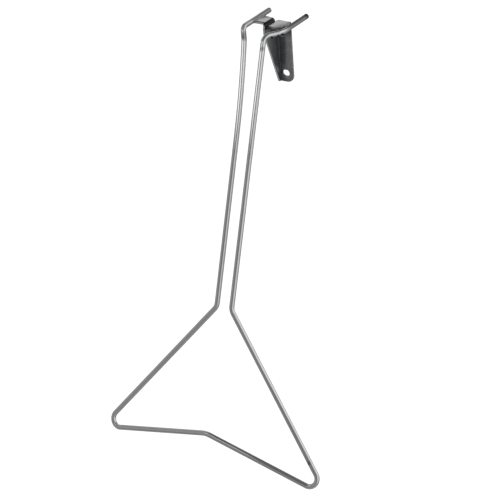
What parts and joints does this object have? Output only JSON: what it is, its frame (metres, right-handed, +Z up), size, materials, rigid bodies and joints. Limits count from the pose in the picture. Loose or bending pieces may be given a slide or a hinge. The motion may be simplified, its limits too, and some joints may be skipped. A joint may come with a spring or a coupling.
{
  "type": "bicycle wall rack",
  "caption": "Bent round-bar rack: a narrow leaning stem widens into a dipped triangle, and its top is welded to a folded sheet bracket that bolts to a wall.",
  "frame": {"origin": "on the wall bracket's back face, midway across its width and above its bolt hole", "axes": "+Z up, +Y into the wall, +X to the right when facing the wall; the rack leans out from the wall towards -Y"},
  "size_m": [0.3792, 0.3093, 0.6281],
  "materials": {
    "zinc_plated_bar": "bright zinc plate, satin",
    "dark_sheet_steel": "darker plated sheet, satin",
    "weld_metal": "plated weld bead"
  },
  "bodies": {
    "root": {"bent_bar": "zinc_plated_bar", "wall_bracket": "dark_sheet_steel", "left_weld_top": "weld_metal", "left_weld_under": "weld_metal", "right_weld_top": "weld_metal", "right_weld_under": "weld_metal"}
  },
  "joints": []
}
